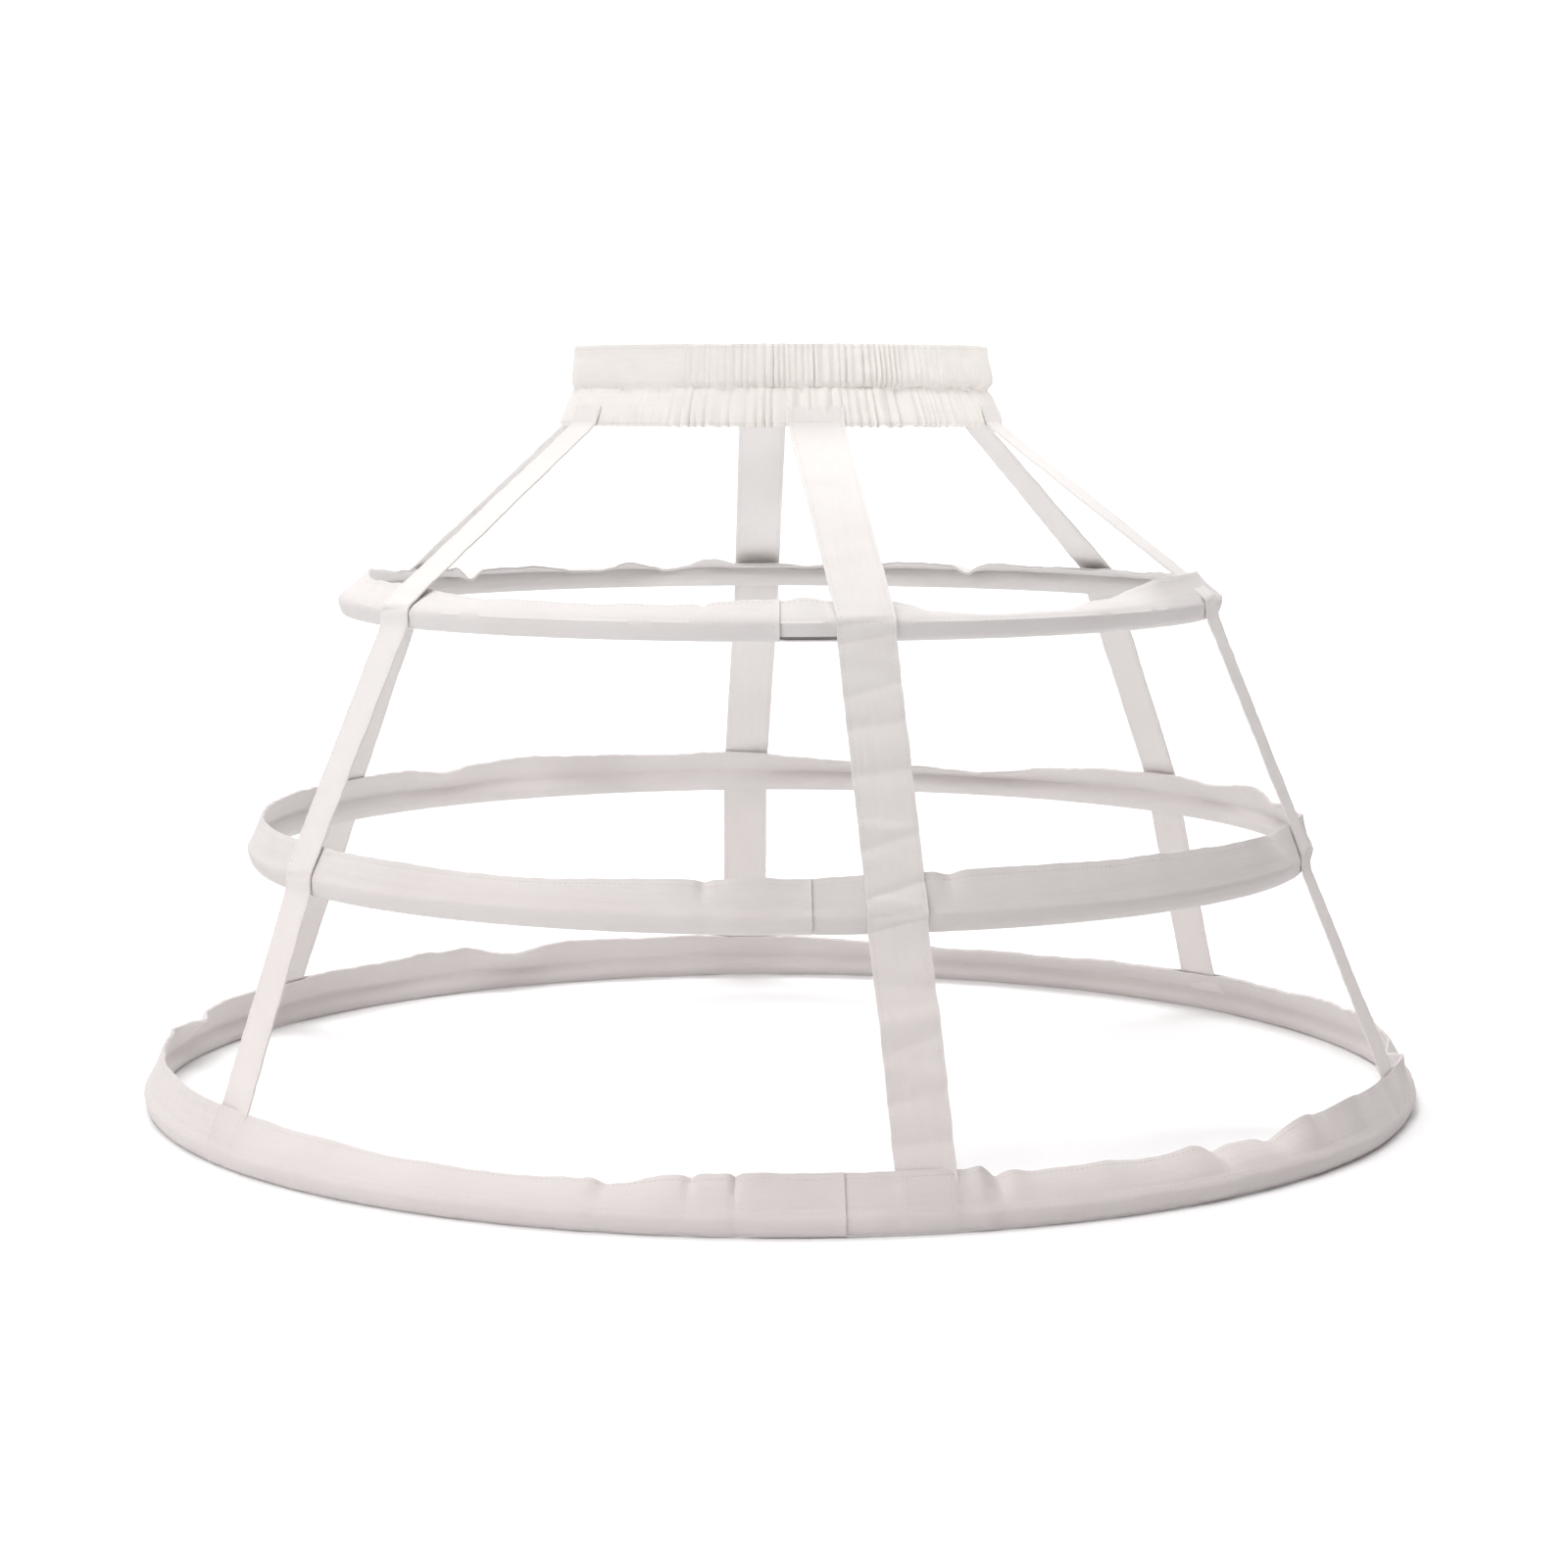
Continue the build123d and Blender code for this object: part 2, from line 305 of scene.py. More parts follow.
def flapMiddle(casing, extra=0.0):  # root and direction of a flap's middle line, as radius and height
    lean = casing["lean"] + math.radians(extra)
    corner = Vector((casing["radius"] + tape["outline"], casing["foot"] + tape["channel"]))
    inward = Vector((-math.cos(lean), -math.sin(lean))) * (casing["flapThick"] / 2)
    return corner + inward, Vector((-math.sin(lean), math.cos(lean)))


class StrapPath:  # a strap's middle line, evenly stepped, with its corners eased
    def __init__(self, angles):
        stations = strapStations(angles)
        corners = [around(angle, point.x, point.y) for point, angle in stations]
        turns = [angle for point, angle in stations]
        points, degrees = [], []
        for (a, b, one, other) in zip(corners, corners[1:], turns, turns[1:]):
            count = max(int((b - a).length / 0.0012), 1)
            for i in range(count):
                points.append(a.lerp(b, i / count))
                degrees.append(one + (other - one) * i / count)
        points.append(corners[-1])
        degrees.append(turns[-1])
        for _ in range(8):
            eased = [a * 0.25 + b * 0.5 + c * 0.25 for a, b, c in zip(points, points[1:], points[2:])]
            points = [points[0]] + eased + [points[-1]]
            spread = [(a + 2 * b + c) / 4 for a, b, c in zip(degrees, degrees[1:], degrees[2:])]
            degrees = [degrees[0]] + spread + [degrees[-1]]
        self.points, self.degrees = points, degrees
        self.reach = [0.0]
        for a, b in zip(points, points[1:]):
            self.reach.append(self.reach[-1] + (b - a).length)
        self.length = self.reach[-1]
        self.frames = {}
        self.crossings = [0.0092]
        for name in ("top", "middle"):
            height = casings[name]["foot"] + tape["channel"] - 0.0010
            near = min(range(len(points)), key=lambda i: abs(points[i].z - height))
            self.crossings.append(self.reach[near])

    def at(self, along):  # middle point, sideways direction and outward direction
        key = round(along, 6)
        if key not in self.frames:
            low, high = 0, len(self.reach) - 1
            while high - low > 1:
                half = (low + high) // 2
                if self.reach[half] <= along:
                    low = half
                else:
                    high = half
            share = (along - self.reach[low]) / (self.reach[high] - self.reach[low])
            middle = self.points[low].lerp(self.points[high], share)
            degree = self.degrees[low] + (self.degrees[high] - self.degrees[low]) * share
            ahead = self.points[min(low + 2, len(self.points) - 1)]
            behind = self.points[max(low - 1, 0)]
            down = (ahead - behind).normalized()
            turn = math.radians(degree)
            sideways = Vector((math.cos(turn), math.sin(turn), 0))
            out = down.cross(sideways).normalized()
            self.frames[key] = (middle, sideways, out)
        return self.frames[key]


strapPaths = {name: StrapPath(angles) for name, angles in strap["angles"].items()}


def strapNear(angle, radius, level):  # 1 under a strap, fading to 0 beside it
    most = 0.0
    for angles in strap["angles"].values():
        aside = abs(math.radians(degreesApart(angle, angles[level]))) * radius
        most = max(most, 1 - smooth(0.013, 0.026, aside))
    return most


def strapPrint(angle, radius):  # 1 where a strap's end lies under the hem's outer layer, with a crisp edge
    aside = min(abs(degreesApart(angle, angles[3])) for angles in strap["angles"].values())
    return 1 - smooth(0.0146, 0.0160, math.radians(aside) * radius)


thread = {
    "length": 0.0021,
    "radius": 0.00024,
    "pitch": 0.0031,
    "fromTip": 0.0030,        # the row below a flap's edge
    "seamRow": 0.0012,        # the row that closes a channel, above its root
}


# casings: tape folded round the steel, its two edges sewn together above it

def tapeProfile(casing):  # plain section as points of radius and height from the steel's foot
    root, up = flapMiddle(casing)
    root = root - Vector((casing["radius"], casing["foot"]))
    flap, half, channel = casing["flap"], tape["slack"], tape["channel"]
    out = Vector((up.y, -up.x))
    gap = 0.00045             # from the flap's middle line to the middle of each layer
    outerShares = (1.0, 0.8, 0.55, 0.3, 0.09)
    innerShares = (0.14, 0.3, 0.55, 0.8, 1.0)
    outer = [root + up * (flap * share) + out * gap for share in outerShares]
    wall = [
        Vector((half * 1.13, channel - 0.0019)), Vector((half * 1.04, 0.0074)),
        Vector((half * 0.80, 0.0042)), Vector((half * 0.46, 0.0015)), Vector((0, 0.00045)),
        Vector((-half * 0.52, 0.0013)), Vector((-half * 0.84, 0.0036)),
        Vector((-half, 0.0068)), Vector((-half * 0.93, channel - 0.0034)),
    ]
    inner = [root + up * (flap * share) - out * gap for share in innerShares]
    weights = [*outerShares] + [0.0] * len(wall) + [*innerShares]
    sides = [1] * len(outer) + [0] * len(wall) + [-1] * len(inner)
    return outer + wall + inner, weights, sides, up, out, root


def curveThrough(points, knots, value):  # smooth curve through the points at the given knots
    index = 0
    while index < len(knots) - 2 and value > knots[index + 1]:
        index += 1
    share = (value - knots[index]) / (knots[index + 1] - knots[index])
    p1, p2 = points[index], points[index + 1]
    p0 = points[index - 1] if index else p1 * 2 - p2
    p3 = points[index + 2] if index + 2 < len(points) else p2 * 2 - p1
    return 0.5 * (
        2 * p1
        + (p2 - p0) * share
        + (2 * p0 - 5 * p1 + 4 * p2 - p3) * share ** 2
        + (3 * p1 - p0 - 3 * p2 + p3) * share ** 3
    )


class CasingShape:
    def __init__(self, name, seed):
        self.name, self.casing, self.seed = name, casings[name], seed
        self.profile, self.weights, self.sides, self.up, self.out, self.root = tapeProfile(self.casing)
        knots = [0.0]
        for a, b in zip(self.profile, self.profile[1:]):
            knots.append(knots[-1] + (b - a).length)
        self.width = knots[-1]
        self.knots = knots
        self.lap = 0.045
        self.round = 2 * math.pi * self.casing["radius"]
        self.length = self.round + self.lap
        self.start = self.casing["join"] - math.degrees(self.lap / self.casing["radius"])
        self.columns = {}

    def angleAt(self, along):
        return self.start + math.degrees(along / self.casing["radius"])

    def folds(self, angle):
        lean = lift = push = 0.0
        for at, spread, foldLean, foldLift, foldPush in casingFolds[self.name]:
            share = bump(degreesApart(angle, at), spread)
            lean += foldLean * share
            lift += foldLift * share
            push += foldPush * share
        return lean, lift, push

    def column(self, along):
        key = round(along, 6)
        if key in self.columns:
            return self.columns[key]
        casing, seed = self.casing, self.seed
        angle = self.angleAt(along)
        radius = casing["radius"]
        held = strapNear(angle, radius, hoopOrder[self.name])
        free = 1 - 0.9 * held
        lean, lift, push = self.folds(angle)
        slow, quick = ringNoise(angle, radius, 0.060, seed), ringNoise(angle, radius, 0.022, seed + 1)
        lean += 4.0 * slow + 2.4 * quick
        lift += 0.0007 * ringNoise(angle, radius, 0.030, seed + 2)
        push += 0.0005 * ringNoise(angle, radius, 0.024, seed + 3)
        lean, lift, push = lean * free, lift * free, push * free
        lean += fromTable(flapLean[self.name], angle)
        lift += fromTable(flapRise[self.name], angle)
        wide = 1 + 0.13 * ringNoise(angle, radius, 0.034, seed + 4) * free
        wide += (tape["pressed"] / tape["slack"] - 1) * held
        outer = smooth(self.round - 0.006, self.round + 0.004, along) * 0.0006  # lies over the start
        outer += smooth(self.length - 0.004, self.length, along) * 0.0006
        under = smooth(self.lap + 0.005, self.lap - 0.005, along) * 0.0006
        spread = 0.0009 * held if self.name == "hem" else 0.0  # the strap's end is between the layers
        turn = math.radians(lean)
        points = []
        for point, weight, side in zip(self.profile, self.weights, self.sides):
            moved = point.copy()
            if weight:
                arm = point - self.root
                bent = turn * (0.35 + 0.65 * weight)
                arm = Vector((
                    arm.x * math.cos(bent) - arm.y * math.sin(bent),
                    arm.x * math.sin(bent) + arm.y * math.cos(bent),
                ))
                moved = self.root + arm + self.up * (lift * weight) + self.out * (push * weight)
                moved += self.out * (side * (outer - under * 0.4 + spread * smooth(0.1, 0.5, weight)))
            else:
                aside = 1 if point.x > 0 else -1 if point.x < 0 else 0
                pushed = max(aside, 0) * max(push * 0.4, -0.0008)
                moved.x = moved.x * wide + aside * (outer - under) + pushed
                moved.y += (under * 1.7 - outer * 0.1) * smooth(0.004, 0.0, point.y)
            points.append(moved)
        self.columns[key] = (angle, points, free)
        return self.columns[key]

    def place(self, along, across):
        angle, points, free = self.column(along)
        radius, flap, seed = self.casing["radius"], self.casing["flap"], self.seed
        spot = curveThrough(points, self.knots, across)
        fromEdge = min(across, self.width - across)
        edge = math.exp(-fromEdge / 0.0045)
        ripple = ringNoise(angle, radius, 0.0062, seed + 5) * 0.00055
        ripple += ringNoise(angle, radius, 0.0105, seed + 6) * 0.0006
        drag = ringNoise(angle, radius, 0.013, seed + 7, up=fromEdge * 1.2) * 0.00028
        flat = smooth(0.0, 0.004, flap + 0.004 - fromEdge)
        spot = spot + self.out * ((ripple * edge + drag * flat) * free)
        spot = spot + self.up * (ripple * 0.35 * edge * free)
        seamRow = flap - thread["seamRow"]
        flat -= 0.35 * bump(fromEdge - seamRow, 0.0011)
        pull = 0.00030 * bump(fromEdge - seamRow, 0.0010)  # drawn in along the seam
        side = 1 if across < self.width / 2 else -1
        spot = spot - self.out * (pull * side)
        dent = ringNoise(angle, radius, 0.017, seed + 8, up=across * 1.4) * 0.00026 * (1 - flat)
        if self.name == "hem" and side > 0:
            spot = spot + self.out * (0.0005 * strapPrint(angle, radius))
        return around(angle, radius + spot.x + dent * side, self.casing["foot"] + spot.y)


casingShapes = {}


def clothNormal(place, along, across, start=0.0, end=math.inf):  # square to a cloth between its ends
    near = 0.0005
    one = place(min(along + near, end), across) - place(max(along - near, start), across)
    other = place(along, across + near) - place(along, across - near)
    return one.cross(other).normalized()


def facing(shape):  # +1 if the cloth's normal points away from the channel's inside
    along, across = shape.length / 3, shape.width / 2 - 0.006
    normal = clothNormal(shape.place, along, across)
    inside = around(shape.angleAt(along), shape.casing["radius"], shape.casing["foot"] + 0.006)
    return 1 if normal.dot(shape.place(along, across) - inside) > 0 else -1


def makeCasing(name, seed, material, threadMaterial):
    shape = CasingShape(name, seed)
    casingShapes[name] = shape
    columns = int(shape.length / tape["step"])
    piece = clothFromFlat(name + "Casing", shape.length, shape.width, columns, tape["rows"], shape.place)
    turnOutwards(piece)
    if name == "top":  # its foot has come undone beside the lap, and the steel shows
        foot = shape.width / 2
        openSlot(piece, shape.lap - 0.002, shape.lap + 0.035, foot - 0.0041, foot - 0.0014)
    giveThickness(piece, tape["cloth"])
    finishPiece(piece, material, ["casing_" + name])
    shape.outward = facing(shape)
    stitches = casingStitches(name, threadMaterial)


# straps

strapCreases = {              # metres down the strap, depth, spread along it, slope across it
    "strap_front": [
        (0.060, 0.0004, 0.006, 0.2), (0.110, -0.0004, 0.008, -0.1), (0.172, -0.0003, 0.004, 0.15),
        (0.189, -0.0008, 0.0016, -0.18), (0.199, 0.0007, 0.004, 0.2), (0.208, -0.0005, 0.004, 0.1),
        (0.217, -0.0006, 0.003, -0.25), (0.236, -0.0008, 0.004, -0.15), (0.248, 0.0005, 0.006, 0.1),
        (0.262, -0.0012, 0.0035, -0.10), (0.272, 0.0006, 0.005, 0.0), (0.293, 0.0011, 0.0032, 0.12),
        (0.300, -0.0011, 0.0030, -0.30), (0.312, 0.0004, 0.005, 0.2), (0.326, -0.0012, 0.0026, -0.30),
        (0.333, 0.0008, 0.0030, 0.25), (0.345, -0.0010, 0.0014, -0.22), (0.404, 0.0026, 0.036, 0.0),
        (0.366, 0.0007, 0.006, 0.20), (0.378, -0.0007, 0.005, 0.1), (0.396, 0.0008, 0.005, -0.2),
        (0.409, -0.0008, 0.004, -0.3), (0.424, 0.0008, 0.005, 0.2), (0.436, -0.0009, 0.004, -0.2),
        (0.449, 0.0006, 0.005, 0.1), (0.460, -0.0007, 0.0035, -0.1),
    ],
}


def strapWidth(name):
    return strap["frontWidth"] if name == "strap_front" else strap["width"]


def strapSurface(name, seed):
    path = strapPaths[name]
    creases = strapCreases.get(name, [])
    half = strapWidth(name) / 2

    def place(along, across):
        middle, sideways, out = path.at(along)
        aside = across - half
        rim = smooth(half - 0.0045, half, abs(aside))
        spot = Vector((along * 60 + seed * 5.3, aside * 26, seed))
        free = smooth(0.006, 0.03, along) * smooth(0.004, 0.02, path.length - along)
        puff = noise.noise(spot) * 0.00045 * free
        puff += noise.noise(Vector((along * 150, aside * 45, seed + 4))) * 0.00016
        for at, depth, spread, slope in creases:
            puff += depth * bump(along - at - slope * aside, spread) * free
        puff += rim * 0.00022 * noise.noise(Vector((along * 190, seed + 9, aside * 8)))
        for at in path.crossings[1:]:  # drawn in where it is sewn down
            fromRim = smooth(half, half - 0.002, abs(aside))
            puff -= 0.0007 * bump(along - at + 0.12 * aside, 0.0013) * fromRim
        stitchLine = bump(abs(aside) - (half - strap["stitchInset"]), 0.0008)
        puff -= 0.00016 * stitchLine * (0.7 + 0.3 * math.cos(along * 2 * math.pi / 0.0028))
        edge = 0.0004 * noise.noise(Vector((along * 75, 3.1 * seed, math.copysign(5, aside))))
        edge += 0.00018 * noise.noise(Vector((along * 230, 1.7 * seed, math.copysign(8, aside))))
        aside += math.copysign(edge * abs(aside) / half, aside)
        return middle + sideways * aside + out * puff

    return path, place


def makeStrap(name, seed, material, threadMaterial):
    path, place = strapSurface(name, seed)
    columns = int(path.length / strap["step"])
    pieceName = "".join(part.capitalize() for part in name.split("_"))
    pieceName = pieceName[0].lower() + pieceName[1:]
    piece = clothFromFlat(pieceName, path.length, strapWidth(name), columns, strap["rows"], place)
    giveThickness(piece, strap["thick"])
    finishPiece(piece, material, [name])
    stitches = strapStitches(name, pieceName, path, place, threadMaterial)


# waistband

gather = {
    "upperPitch": 0.0041,
    "upperDepth": 0.0021,
    "lowerPitch": 0.0060,
    "lowerDepth": 0.0033,
    "columns": 1500,
    "rows": 26,
    "liningColumns": 640,
    "liningRows": 13,
    "ruffle": 0.0019,         # how far the lower edge waves up and down
    "upper": [                # angle, and how strongly the elastic draws the cloth up
        (-102, 0.75), (-98, 0.0), (-29, 0.0), (-23, 0.75), (-10, 0.85), (4, 0.95), (12, 1.2), (32, 1.25),
        (42, 0.75), (56, 0.5), (85, 0.6), (110, 0.9), (180, 1.0), (235, 0.9),
    ],
    "lower": [
        (-102, 0.7), (-98, 0.0), (-50, 0.0), (-40, 0.35), (-24, 0.8), (-5, 1.0), (20, 1.15), (48, 1.1),
        (70, 0.8), (110, 0.8), (180, 1.0), (235, 0.9),
    ],
    "groove": [               # how sharply the seam between the channels is drawn in
        (-102, 0.5), (-96, 0.15), (-40, 0.15), (-20, 0.4), (10, 0.7), (34, 1.0), (72, 1.3), (110, 0.8),
        (180, 0.8), (235, 0.8),
    ],
}


def foldWave(angle, pitch, seed):  # rounded ridges and sharp valleys, unevenly spaced
    radius = band["outside"]
    count = round(2 * math.pi * radius / pitch)
    uneven = 2.2 * ringNoise(angle, radius, 0.022, seed) + 1.1 * ringNoise(angle, radius, 0.009, seed + 1)
    phase = math.radians(angle) * count + math.pi * uneven
    size = 0.66 + 0.55 * ringNoise(angle, radius, 0.0058, seed + 2)
    size += 0.25 * ringNoise(angle, radius, 0.019, seed + 3)
    return abs(math.cos(phase / 2)) ** 0.85 * min(max(size, 0.15), 1.1)


def bandFace(angle, height):  # radius of the outer cloth at the bottom of its valleys
    radius, base, seam, top = (band[key] for key in ("outside", "base", "seam", "top"))
    bow = 0.0005 * ringNoise(angle, radius, 0.055, 61)
    if height >= seam:
        share = min((height - seam) / (top - seam), 1.0)
        full = 0.0013 + 0.0013 * fromTable(gather["groove"], angle)  # puffs out over the seam
        ledge = full * (1 - smooth(0.10, 1.0, share)) * smooth(-0.06, 0.14, share)
        return radius - 0.0007 + 0.0003 * math.sin(math.pi * share) + ledge + bow
    share = (seam - height) / (seam - base)
    puff = 0.0009 * math.sin(math.pi * min(share, 1.0))
    return radius - 0.0004 + band["flare"] * share ** 0.9 + puff + bow


def bandPoint(angle, height):  # the outer cloth between its top roll and its lower edge
    radius, base, seam, top = (band[key] for key in ("outside", "base", "seam", "top"))
    upperWave = foldWave(angle, gather["upperPitch"], 21)
    lowerWave = foldWave(angle, gather["lowerPitch"], 31)
    upperShare, lowerShare = fromTable(gather["upper"], angle), fromTable(gather["lower"], angle)
    fromBase = (height - base) / (seam - base)
    lowEdge = smooth(0.62, 0.0, fromBase)
    waver = 0.0016 * ringNoise(angle, radius, 0.019, 71) + 0.0012 * ringNoise(angle, radius, 0.0062, 72)
    height += waver * bump(height - seam, 0.0075)  # the seam wavers up and down
    belowSeam = smooth(seam + 0.0040, seam - 0.0030, height)
    groove = bump(height - seam, 0.0012) * fromTable(gather["groove"], angle)
    lowerShare = max(lowerShare, 0.25 * lowEdge)
    held = strapNear(angle, 0.134, 0) * smooth(base + 0.014, base + 0.008, height)
    nearTop = smooth(0.0, 0.0035, top - height)
    ledge = 1 + 0.45 * (1 - smooth(seam + 0.004, top, height))  # deeper over the seam
    upperDepth = gather["upperDepth"] * ledge * (0.55 + 0.45 * nearTop) * upperShare * (upperWave - 0.1)
    lowerDepth = gather["lowerDepth"] * (0.75 + 0.55 * lowEdge) * lowerShare * (lowerWave - 0.1)
    depth = upperDepth * (1 - belowSeam) + lowerDepth * belowSeam
    face = bandFace(angle, height)
    face += depth * (1 - 0.35 * groove) * (1 - 0.65 * held)
    face -= 0.0010 * groove
    face += 0.0007 * ringNoise(angle, radius, 0.011, 45, up=height * 1.3)
    face += 0.0003 * ringNoise(angle, radius, 0.0045, 46, up=height * 0.8) * min(upperShare + 0.3, 1.0)
    return face, lowerWave, lowerShare * lowEdge * (1 - held)


def makeBand(material):
    roll = 0.0026
    drop = band["top"] - band["base"]
    turnIn = 0.004
    width = turnIn + roll + drop + 0.003
    radius = band["outside"]
    length = 2 * math.pi * radius

    def place(along, across):
        angle = 180 + math.degrees(along / radius)
        waver = 0.0004 * ringNoise(angle, radius, 0.018, 41) + 0.0003 * ringNoise(angle, radius, 0.006, 42)
        inner = band["inside"] + 0.0013
        if across < turnIn:  # turned over the top and sewn down inside
            return around(angle, inner, band["top"] - 0.0011 - (turnIn - across))
        if across < turnIn + roll:
            share = (across - turnIn) / roll
            face = bandPoint(angle, band["top"] - 0.0010)[0]
            height = band["top"] - 0.0011 + 0.0009 * math.sin(math.pi * share) + waver
            return around(angle, inner + (face - inner) * share, height)
        height = band["top"] - 0.0011 - (across - turnIn - roll)
        under = max(band["base"] + 0.0004 - height, 0.0)
        height = max(height, band["base"] + 0.0004) + under * 0.3
        face, wave, ruffled = bandPoint(angle, height)
        fade = smooth(band["base"], band["base"] + 0.012, height)
        height += gather["ruffle"] * (wave - 0.5) * ruffled + waver * fade
        return around(angle, face - under * 1.2, height)

    piece = clothFromFlat("bandOuter", length, width, gather["columns"], gather["rows"], place)
    turnOutwards(piece, band["sewReach"])
    giveThickness(piece, band["cloth"])
    finishPiece(piece, material, ["waistband"])

    liningWidth = drop - 0.004
    liningRadius = band["inside"]
    liningLength = 2 * math.pi * liningRadius

    def placeLining(along, across):
        angle = 180 + math.degrees(along / liningRadius)
        height = band["top"] - 0.0025 - across
        lower = height < band["seam"]
        wave = foldWave(angle, gather["lowerPitch"], 51) - 0.6
        share = fromTable(gather["lower" if lower else "upper"], angle)
        flare = band["flare"] * max(band["seam"] - height, 0) / (band["seam"] - band["base"])
        return around(angle, liningRadius + 0.0006 + flare + 0.0008 * wave * share, height)

    lining = clothFromFlat(
        "bandLining", liningLength, liningWidth, gather["liningColumns"], gather["liningRows"], placeLining
    )
    turnOutwards(lining, band["sewReach"])
    giveThickness(lining, band["cloth"])
    finishPiece(lining, material)
    return piece, (width, length * 1.35)


# stitches

def makeStitch():  # one stitch, a slim bead along X
    deselectAll()
    bpy.ops.mesh.primitive_uv_sphere_add(segments=6, ring_count=4, radius=1, rotation=(0, math.pi / 2, 0))
    bpy.ops.object.transform_apply(location=True, rotation=True, scale=True)
    bpy.ops.transform.resize(value=(thread["length"] / 2, thread["radius"], thread["radius"]))
    bpy.ops.transform.translate(value=(thread["length"] / 2, 0, 0))
    bpy.ops.object.transform_apply(location=True, rotation=True, scale=True)
    bpy.ops.object.shade_smooth()
    return bpy.context.object


def stitchRow(points, pitch):  # copies of one stitch carried along a line of points
    curve = bpy.data.curves.new("stitchLine", "CURVE")
    curve.dimensions = "3D"
    spline = curve.splines.new("POLY")
    spline.points.add(len(points) - 1)
    for spot, point in zip(spline.points, points):
        spot.co = (point.x, point.y, point.z, 1)
    line = bpy.data.objects.new("stitchLine", curve)
    bpy.context.collection.objects.link(line)
    length = sum((b - a).length for a, b in zip(points, points[1:]))
    row = makeStitch()
    array = row.modifiers.new("repeat", "ARRAY")
    array.fit_type = "FIXED_COUNT"
    array.count = int(length / pitch)
    array.use_relative_offset = False
    array.use_constant_offset = True
    array.constant_offset_displace = (pitch, 0, 0)
    along = row.modifiers.new("alongLine", "CURVE")
    along.object = line
    makeActive(row)
    bpy.ops.object.modifier_apply(modifier=array.name)
    bpy.ops.object.modifier_apply(modifier=along.name)
    bpy.data.objects.remove(line)
    return row


def joinStitches(name, rows, material):
    deselectAll()
    for row in rows:
        row.select_set(True)
    bpy.context.view_layer.objects.active = rows[0]
    if len(rows) > 1:
        bpy.ops.object.join()
    piece = bpy.context.view_layer.objects.active
    piece.name = name
    piece.data.name = name
    finishPiece(piece, material)
    return piece


def lineAlong(place, across, start, end, step, proud):  # points along a cloth, proud of its middle
    count = max(int((end - start) / step), 2)
    steps = [start + (end - start) * i / count for i in range(count + 1)]
    points = [place(along, across) for along in steps]
    return [
        point + clothNormal(place, along, across, start, end) * proud
        for point, along in zip(points, steps)
    ]


def lineDown(shape, along, start, end):  # points down the face of a flap
    line = []
    for i in range(21):
        across = start + (end - start) * i / 20
        out = clothNormal(shape.place, along, across) * (shape.outward * tape["cloth"] / 2)
        line.append(shape.place(along, across) + out)
    return line


def casingStitches(name, material):
    shape = casingShapes[name]
    flap = shape.casing["flap"]
    proud = tape["cloth"] / 2 * shape.outward
    rows = []
    for across in (thread["fromTip"], flap - thread["seamRow"]):
        for spot in (across, shape.width - across):
            line = lineAlong(shape.place, spot, 0.004, shape.length - 0.002, 0.0021, proud)
            rows.append(stitchRow(line, thread["pitch"]))
    rows.append(stitchRow(lineDown(shape, shape.length - 0.0030, 0.002, flap + 0.007), thread["pitch"]))
    if name == "hem":
        for angles in strap["angles"].values():
            for aside in (-0.0114, 0.0114):
                turn = math.radians((angles[3] - shape.start) % 360)
                line = lineDown(shape, turn * shape.casing["radius"] + aside, 0.0015, flap)
                rows.append(stitchRow(line, thread["pitch"] * 0.8))
    return joinStitches(name + "CasingStitches", rows, material)


def strapStitches(name, pieceName, path, place, material):
    rows = []
    for spot in (strap["stitchInset"], strapWidth(name) - strap["stitchInset"]):
        for side in (1, -1):
            proud = strap["thick"] / 2 * side
            line = lineAlong(place, spot, 0.002, path.length - 0.002, 0.0016, proud)
            rows.append(stitchRow(line, thread["pitch"]))
    for at in path.crossings:
        line = [place(at, 0.003 + 0.024 * i / 20) for i in range(21)]
        out = path.at(at)[2] * (strap["thick"] / 2)
        rows.append(stitchRow([point + out for point in line], thread["pitch"] * 0.8))
    return joinStitches(pieceName + "Stitches", rows, material)


def bandStitches(material):
    rows = []
    for height in (band["seam"], band["base"] + 0.0022, band["top"] - 0.0030):
        line = []
        for i in range(2401):
            angle = i * 0.15
            face = bandPoint(angle, height)[0]
            line.append(around(angle, face + band["cloth"] / 2, height))
        rows.append(stitchRow(line, thread["pitch"] * 0.85))
    return joinStitches("bandStitches", rows, material)


# materials

def newMaterial(name):
    material = bpy.data.materials.new(name)
    material.use_nodes = True
    tree = material.node_tree
    return material, tree, tree.nodes["Principled BSDF"]


def fill(tree, node, inputs):  # each input gets a value, or a link from another node's output
    for name, value in inputs.items():
        if isinstance(value, bpy.types.NodeSocket):
            tree.links.new(value, node.inputs[name])
        else:
            node.inputs[name].default_value = value


def addNode(tree, kind, inputs, output=None, **traits):  # gives the node's named output, or the node
    node = tree.nodes.new("ShaderNode" + kind)
    for trait, value in traits.items():
        setattr(node, trait, value)
    fill(tree, node, inputs)
    return node.outputs[output] if output else node


def blend(tree, share, dark, light):  # a colour between two, by a share from 0 to 1
    ramp = addNode(tree, "ValToRGB", {"Fac": share})
    ramp.color_ramp.elements[0].color = dark
    ramp.color_ramp.elements[1].color = light
    return ramp.outputs["Color"]


def relief(tree, height, strength, distance, normal=None):
    inputs = {"Height": height, "Strength": strength, "Distance": distance}
    if normal is not None:
        inputs["Normal"] = normal
    return addNode(tree, "Bump", inputs, "Normal")


